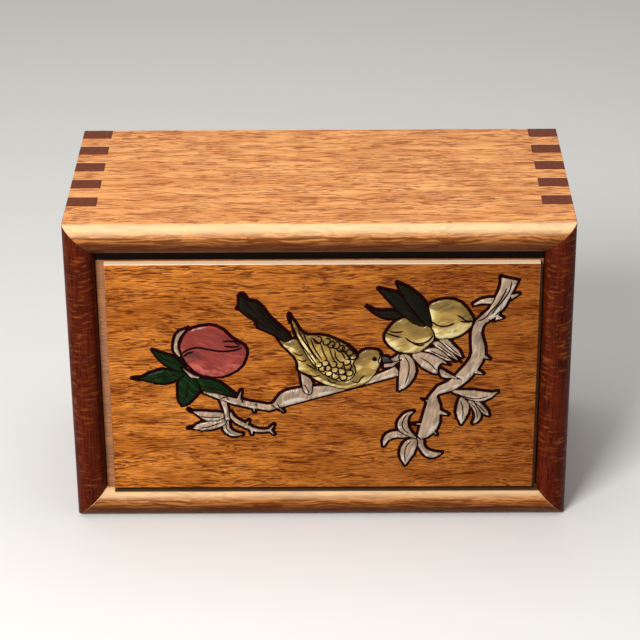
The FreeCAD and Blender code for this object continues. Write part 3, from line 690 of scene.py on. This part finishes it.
def blunt(piece, ends):
    """Rounds off the pointed ends of the mastic, or of the pocket that holds it."""
    mesh = piece.data
    only(piece)
    for vertex in mesh.vertices:
        vertex.select = False
    for face in mesh.polygons:
        face.select = False
    corners = [Vector((c.x, c.z)) for end in ends for c in end[0][1:3]]
    for edge in mesh.edges:
        a, b = (mesh.vertices[i].co for i in edge.vertices)
        level = abs(a.y - b.y) < SAME_PLACE and a.y < BEHIND_POCKET and (a - b).length > TIP_WIDTH
        edge.select = level and any(
            (Vector((p.x, p.z)) - c).length < ON_LINE for p in (a, b) for c in corners)
    bpy.ops.object.mode_set(mode="EDIT")
    bpy.ops.mesh.select_mode(type="EDGE")
    bpy.ops.mesh.subdivide(number_cuts=9, ngon=True)
    bpy.ops.object.mode_set(mode="OBJECT")
    for vertex in mesh.vertices:
        if vertex.co.y > BEHIND_POCKET:
            continue
        for path, apex, outward, back, radius in ends:
            sideways = Vector((outward.z, 0, -outward.x))
            along, side = (vertex.co - apex).dot(outward), (vertex.co - apex).dot(sideways)
            if along > -back and lies_on(vertex.co, path):
                shift = -back + math.sqrt(max(radius ** 2 - side ** 2, 0.0)) - along
                vertex.co.x += outward.x * shift
                vertex.co.z += outward.z * shift
                break
    mesh.update()
    for level in sorted({round(f.center.y, 5) for f in mesh.polygons if abs(f.normal.y) > 0.99}):
        if level < BEHIND_POCKET:
            refill(piece, level)


def lies_on(point, path):
    """Says whether a point, seen from the front, lies on a chain of straight runs."""
    place = Vector((point.x, 0, point.z))
    for start, end in zip(path, path[1:]):
        start, end = Vector((start.x, 0, start.z)), Vector((end.x, 0, end.z))
        run = end - start
        share = max(0.0, min(1.0, (place - start).dot(run) / max(run.length_squared, 1e-12)))
        if (start + run * share - place).length < ON_LINE:
            return True
    return False


def refill(piece, level):
    """Lays a flat face of the front or the mastic anew between its changed outlines."""
    pick_faces(piece, lambda face: abs(face.normal.y) > 0.99 and abs(face.center.y - level) < ON_LINE)
    bpy.ops.mesh.delete(type="FACE")
    bpy.ops.mesh.select_mode(type="EDGE")
    bpy.ops.mesh.select_all(action="DESELECT")
    bpy.ops.mesh.select_non_manifold(
        extend=False, use_wire=False, use_boundary=True, use_multi_face=False, use_non_contiguous=False,
        use_verts=False)
    bpy.ops.mesh.fill(use_beauty=True)
    bpy.ops.mesh.select_all(action="SELECT")
    bpy.ops.mesh.normals_make_consistent(inside=False)
    bpy.ops.object.mode_set(mode="OBJECT")


def fill_flush(bed, smear):
    """Raises the mastic to the face of the front and lets it spread a little over the wood."""
    raised_y = FACE_Y - 0.06 * MM
    only(bed)
    top_y = min(v.co.y for v in bed.data.vertices)
    for vertex in bed.data.vertices:
        vertex.select = False
    for edge in bed.data.edges:
        edge.select = False
    for face in bed.data.polygons:
        face.select = abs(face.normal.y) < 0.5
    bpy.ops.object.mode_set(mode="EDIT")
    bpy.ops.mesh.select_mode(type="FACE")
    bpy.ops.mesh.duplicate()
    bpy.ops.mesh.separate(type="SELECTED")
    bpy.ops.object.mode_set(mode="OBJECT")
    ring = next(o for o in bpy.context.selected_objects if o is not bed)
    bottom_y = max(v.co.y for v in ring.data.vertices)
    for vertex in ring.data.vertices:
        vertex.co.y = raised_y if vertex.co.y < (top_y + bottom_y) / 2 else FACE_Y
    for vertex in bed.data.vertices:
        if vertex.co.y < top_y + SAME_PLACE:
            vertex.co.y = raised_y
    only(ring)
    spread = ring.modifiers.new("spread", "SOLIDIFY")
    spread.thickness = smear
    spread.offset = 1.0
    apply_all(ring)
    bed.select_set(True)
    bpy.context.view_layer.objects.active = bed
    bpy.ops.object.join()


def lay_long_ends():
    """Lays the long dark ends of the mastic on the wood, thin and round at the tip."""
    ends = empty_curve("mastic_long_ends")
    along = (0.0, 0.5, 0.85, 1.0)
    thickness = (1.0, 1.0, 0.75, 0.3)
    for start, end, half_width in LONG_ENDS:
        places = [tuple(a + (b - a) * share for a, b in zip(start, end)) for share in along]
        for point, share in zip(draw_stroke(ends, places, FACE_Y), thickness):
            point.radius = half_width * share
    ends.data.bevel_depth = MM
    ends.data.bevel_resolution = 3
    ends.data.use_fill_caps = True
    bpy.ops.object.convert(target="MESH")
    bpy.ops.transform.resize(value=(1, 0.06, 1), center_override=(0, FACE_Y, 0))
    bpy.ops.object.transform_apply(location=True, rotation=True, scale=True)
    bpy.ops.object.shade_smooth()
    return ends


class ChestInlayPieces(bpy.types.Operator):
    """Crown the shell pieces and give them their colours"""
    bl_idname = "chest.inlay"
    bl_label = "Shell inlay"

    def execute(self, context):
        inlay = context.scene.chest_inlay
        # Each shell is painted darker on its upper slopes and given bands of painted sheen on the slopes that
        # face down
        shells = {
            # The red peach also gets a spot of painted shade under the left end of its cleft
            "pink_shell": pearl(
                "pink_pearl", inlay.pink, -20, streak=(7.0, 1.2), lift=1.9, gloss=0.2, coat=0.15, upper=0.66,
                deep=0.85, painted_sheen=(linear("F07C70"), 0.55), cleft_shade=(linear("2A0A06"), (-66, 13.5), 6.5)),
            "gold_shell": pearl(
                "golden_pearl", inlay.gold, 25, gloss=0.25, lift=1.9, upper=0.38,
                painted_sheen=(linear("FFECA8"), 1.0)),
            "silver_shell": pearl(
                "silver_pearl", inlay.silver, 70, gloss=0.25, coat=0.2, painted_sheen=(linear("FFF4E4"), 0.7)),
            "green_shell": pearl("green_pearl", inlay.green, -35, gloss=0.05, coat=0.03, lift=4.0),
        }
        black_green = pearl("black_green_pearl", inlay.black_green, -35, gloss=0.05, coat=0.03, lift=2.5)
        smoked = pearl("smoked_pearl", inlay.smoked, 0, gloss=0.1, coat=0.1)
        for node, slot in SLOT_OF.items():
            if slot in shells:
                piece = worked_copy(node)
                crown(piece, inlay)
                almost_black = node in ("crown_leaves", "bird_tail")
                piece.data.materials.append(black_green if almost_black else shells[slot])
                if node == "bird_body":
                    colour_part(piece, UPPER_BEAK, smoked)
                    for place in (LOWER_BEAK, BIRD_LEG):
                        colour_part(piece, place, shells["silver_shell"])
        return {"FINISHED"}


def colour_part(piece, place, material):
    """Gives the loose part of a piece that lies nearest to a place in the drawing its own material."""
    x, z = (centre + value * MM for centre, value in zip(FIELD_CENTRE, place))
    only(piece)
    if piece.data.materials.find(material.name) < 0:
        piece.data.materials.append(material)
    piece.active_material_index = piece.data.materials.find(material.name)
    nearest = min(piece.data.polygons, key=lambda f: (f.center.x - x) ** 2 + (f.center.z - z) ** 2).index
    pick_faces(piece, lambda face: face.index == nearest)
    bpy.ops.mesh.select_linked()
    bpy.ops.object.material_slot_assign()
    bpy.ops.object.mode_set(mode="OBJECT")


def crown(piece, inlay):
    """Raises the face of each shell piece from its rim towards its middle."""
    low = [min(v.co[i] for v in piece.data.vertices) for i in range(3)]
    high = [max(v.co[i] for v in piece.data.vertices) for i in range(3)]
    pick_faces(piece, lambda face: face.normal.y < -0.99)
    bpy.ops.mesh.region_to_loop()
    bpy.ops.mesh.duplicate()
    bpy.ops.mesh.separate(type="SELECTED")
    bpy.ops.object.mode_set(mode="OBJECT")
    rim = next(o for o in bpy.context.selected_objects if o is not piece)
    only(piece)
    for axis, normal in ((0, (1, 0, 0)), (2, (0, 0, 1))):
        place = low[axis] + inlay.cut / 2
        while place < high[axis]:
            bpy.ops.object.mode_set(mode="OBJECT")
            for face in piece.data.polygons:
                face.select = face.normal.y < -0.99
            bpy.ops.object.mode_set(mode="EDIT")
            point = [0, 0, 0]
            point[axis] = place
            bpy.ops.mesh.bisect(plane_co=point, plane_no=normal)
            place += inlay.cut
    bpy.ops.object.mode_set(mode="OBJECT")
    group = piece.vertex_groups.new(name="crown")
    group.add([v.index for v in piece.data.vertices if v.co.y < low[1] + SAME_PLACE], 1.0, "REPLACE")
    near = piece.modifiers.new("near_rim", "VERTEX_WEIGHT_PROXIMITY")
    near.vertex_group = "crown"
    near.target = rim
    near.proximity_mode = "GEOMETRY"
    near.proximity_geometry = {"EDGE"}
    near.min_dist = 0.0
    near.max_dist = inlay.crown_reach
    near.falloff_type = "ICON_SPHERECURVE"
    lift = piece.modifiers.new("lift", "DISPLACE")
    lift.direction = "Y"
    lift.mid_level = 0.0
    lift.strength = -inlay.crown
    lift.vertex_group = "crown"
    apply_all(piece)
    bpy.ops.object.shade_smooth_by_angle(angle=math.radians(40))
    bpy.data.objects.remove(rim)


def shell_face(inlay_pieces):
    """All the crowned shells as one surface for the cut lines to lie on."""
    bpy.ops.object.select_all(action="DESELECT")
    for piece in inlay_pieces:
        piece.select_set(True)
        bpy.context.view_layer.objects.active = piece
    bpy.ops.object.duplicate()
    bpy.ops.object.join()
    return bpy.context.view_layer.objects.active


def laid_on(piece, target):
    """Lets the points of a piece fall back onto the shell, straight through the front."""
    fall = piece.modifiers.new("fall", "SHRINKWRAP")
    fall.target = target
    fall.wrap_method = "PROJECT"
    fall.use_project_y = True
    fall.use_positive_direction = True
    fall.use_negative_direction = False
    fall.offset = 0.0
    apply_all(piece)


def cut_lines(name, strokes, width, target, start_y):
    """Fine lines of mastic, tapered at both ends, drawn in front of the shell and let down onto it."""
    drawn = empty_curve(name)
    drawn.data.resolution_u = 6
    for stroke in strokes:
        draw_stroke(drawn, stroke, start_y)
    bpy.ops.object.convert(target="MESH")
    laid_on(drawn, target)
    only(drawn)
    bpy.ops.object.convert(target="CURVE")
    for spline in drawn.data.splines:
        last = len(spline.points) - 1
        for number, point in enumerate(spline.points):
            point.radius = min(1.0, 0.35 + 0.3 * min(number, last - number))
    drawn.data.bevel_depth = width / 2
    drawn.data.bevel_resolution = 1
    drawn.data.use_fill_caps = True
    bpy.ops.object.convert(target="MESH")
    bpy.ops.object.shade_smooth()
    return drawn


def feather(x, z, turn, wide=1.85, high=1.6):
    """The outline of a small round feather, open a little at its root; wide and high are its radii in mm."""
    arc = []
    for degrees in range(115, 436, 40):
        angle = math.radians(degrees)
        across, down = wide * math.cos(angle), high * math.sin(angle)
        arc.append((x + across * math.cos(turn) - down * math.sin(turn),
                    z + across * math.sin(turn) + down * math.cos(turn)))
    return arc


class ChestEngraving(bpy.types.Operator):
    """Cut the feathers, ribs, clefts and bark lines into the shell"""
    bl_idname = "chest.engraving"
    bl_label = "Engraving"

    def execute(self, context):
        inlay = context.scene.chest_inlay
        shells = [o for o in bpy.data.objects if o.name.endswith("-finished")
                  and SLOT_OF[o.name[:-len("-finished")]].endswith("_shell")]
        target = shell_face(shells)
        crest_y = min(v.co.y for v in target.data.vertices)
        filling = cement("line_mastic", inlay.mastic)
        groups = dict(CUT_LINES)
        groups["shoulder_feathers"] = [feather(x, z, math.radians(35)) for x, z in SCALES]
        for name, strokes in groups.items():
            width = inlay.line_width * LINE_SHARE.get(name, 1.0)
            lines = cut_lines(name, strokes, width, target, crest_y - 0.5 * MM)
            lines.data.materials.append(filling)
            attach(lines, "front")
        eye_x, eye_z = (centre + value * MM for centre, value in zip(FIELD_CENTRE, BIRD_EYE))
        bpy.ops.object.select_all(action="DESELECT")
        bpy.ops.mesh.primitive_uv_sphere_add(
            segments=20, ring_count=10, radius=1.25 * MM, location=(eye_x, crest_y + 0.05 * MM, eye_z))
        eye = bpy.context.view_layer.objects.active
        eye.name = "bird_eye"
        bpy.ops.transform.resize(value=(1, 0.3, 1), center_override=tuple(eye.location))
        bpy.ops.object.transform_apply(location=True, rotation=True, scale=True)
        bpy.ops.object.shade_smooth()
        eye.data.materials.append(filling)
        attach(eye, "front")
        bpy.data.objects.remove(target)
        return {"FINISHED"}


class ChestDrawers(bpy.types.Operator):
    """Finish the three drawers and their knobs"""
    bl_idname = "chest.drawers"
    bl_label = "Drawers"

    def execute(self, context):
        woods = context.scene.chest_wood
        fronts = wood("golden_drawer_front", woods.front_light, woods.front_dark, woods.end_grain, GRAIN_X,
                      (57, 13, 29), streak=(8.0, 0.6), contrast=0.7)
        plain = {
            turn: wood("plain_drawer_" + word, woods.inner_light, woods.inner_dark, woods.inner_dark, turn,
                       (7, 19, 4), contrast=0.4, roughness=0.5, coat=0.0)
            for turn, word in ((GRAIN_X, "across"), (GRAIN_Y, "along"))
        }
        brass = turned_brass("turned_brass")
        for drawer in DRAWERS:
            for part in ("front", "back", "bottom", "left_side", "right_side", "knob"):
                piece = worked_copy("%s_%s" % (drawer, part))
                soften(piece, woods.edge)
                if part == "knob":
                    piece.data.materials.append(brass)
                elif part == "front":
                    piece.data.materials.append(fronts)
                else:
                    piece.data.materials.append(plain[GRAIN_Y if "side" in part else GRAIN_X])
        return {"FINISHED"}


class ChestStageSet(bpy.types.Operator):
    """Set the floor, the light and the camera"""
    bl_idname = "chest.stage"
    bl_label = "Stage"

    def execute(self, context):
        stage = context.scene.chest_stage
        make_floor(stage)
        make_light()
        data = bpy.data.cameras.new("camera")
        data.lens = stage.focal_length
        data.sensor_width = 36.0
        data.clip_start, data.clip_end = 0.05, 50.0
        camera = bpy.data.objects.new("camera", data)
        context.scene.collection.objects.link(camera)
        turn = (Matrix.Rotation(stage.yaw, 4, "Z") @ Matrix.Rotation(math.pi / 2 - stage.pitch, 4, "X")
                @ Matrix.Rotation(stage.roll, 4, "Z"))
        camera.matrix_world = Matrix.Translation(stage.place) @ turn
        context.scene.camera = camera
        return {"FINISHED"}


def seen_rays(tree):
    """1 for rays from the camera, off a gloss or through glass, else 0."""
    rays = add(tree, "ShaderNodeLightPath")
    both = add(tree, "ShaderNodeMath", {
        0: rays.outputs["Is Camera Ray"], 1: rays.outputs["Is Glossy Ray"]}, operation="MAXIMUM")
    return add(tree, "ShaderNodeMath", {
        0: both, 1: rays.outputs["Is Transmission Ray"]}, operation="MAXIMUM")


def make_floor(stage):
    """A wide pale floor that the camera sees a little brighter than it is lit."""
    bpy.ops.object.select_all(action="DESELECT")
    bpy.ops.mesh.primitive_plane_add(size=12.0, location=(0, 0, -0.02 * MM))
    floor = bpy.context.view_layer.objects.active
    floor.name = "floor"
    material, tree = new_material("pale_floor")
    dull = linear("8A8680")
    colour = laid_over(tree, dull, tuple(stage.floor_colour), 1.0, (seen_rays(tree), 0.0, 1.0))
    shader = add(tree, "ShaderNodeBsdfDiffuse", {"Color": colour})
    add(tree, "ShaderNodeOutputMaterial", {0: shader})
    floor.data.materials.append(material)


def make_light():
    """A soft lamp in front on the left, a larger one overhead, and a pale surround that lights weakly."""
    scene = bpy.context.scene
    world = bpy.data.worlds.new("studio")
    scene.world = world
    world.use_nodes = True
    tree = world.node_tree
    tree.nodes.clear()
    seen = add(tree, "ShaderNodeBackground", {"Color": linear("F2F1EF"), "Strength": 1.0})
    lit = add(tree, "ShaderNodeBackground", {"Color": linear("F4F2EE"), "Strength": 0.2})
    mix = add(tree, "ShaderNodeMixShader", {0: seen_rays(tree), 1: lit, 2: seen})
    add(tree, "ShaderNodeOutputWorld", {0: mix})
    aimed_at = Vector((0, -0.05, 0.1))
    lamps = (  # name, place, width and depth in metres, power in watts
        ("key", (-0.5, -1.0, 0.95), 0.5, 0.5, 18.5),
        ("overhead", (-0.05, 0.1, 1.26), 0.8, 1.0, 6.6),
    )
    for name, place, wide, deep, power in lamps:
        data = bpy.data.lights.new(name, "AREA")
        data.shape = "RECTANGLE"
        data.size, data.size_y = wide, deep
        data.energy = power
        lamp = bpy.data.objects.new(name, data)
        scene.collection.objects.link(lamp)
        turn = (aimed_at - Vector(place)).to_track_quat("-Z", "Y").to_matrix().to_4x4()
        lamp.matrix_world = Matrix.Translation(place) @ turn


class ChestPanel(bpy.types.Panel):
    """Buttons for each group of pieces"""
    bl_idname = "CHEST_PT_pieces"
    bl_label = "Trinket chest"
    bl_space_type = "VIEW_3D"
    bl_region_type = "UI"
    bl_category = "Chest"

    def draw(self, context):
        for operator in OPERATORS:
            self.layout.operator(operator.bl_idname)
        for group in GROUPS:
            box = self.layout.box()
            for name in GROUPS[group].__annotations__:
                box.prop(getattr(context.scene, group), name)


OPERATORS = (ChestCase, ChestFront, ChestInlayPieces, ChestEngraving, ChestDrawers, ChestStageSet)
GROUPS = {"chest_wood": ChestWood, "chest_inlay": ChestInlay, "chest_stage": ChestStage}


def register():
    for group, kind in GROUPS.items():
        bpy.utils.register_class(kind)
        setattr(bpy.types.Scene, group, bpy.props.PointerProperty(type=kind))
    for kind in OPERATORS + (ChestPanel,):
        bpy.utils.register_class(kind)


def unregister():
    for kind in reversed(OPERATORS + (ChestPanel,)):
        bpy.utils.unregister_class(kind)
    for group, kind in GROUPS.items():
        delattr(bpy.types.Scene, group)
        bpy.utils.unregister_class(kind)


def main():
    """Builds the whole scene."""
    register()
    scene = bpy.context.scene
    scene.view_settings.view_transform = "Standard"
    bpy.ops.chest.case()
    bpy.ops.chest.front()
    bpy.ops.chest.inlay()
    bpy.ops.chest.engraving()
    bpy.ops.chest.drawers()
    bpy.ops.chest.stage()


if __name__ == "__main__":
    main()
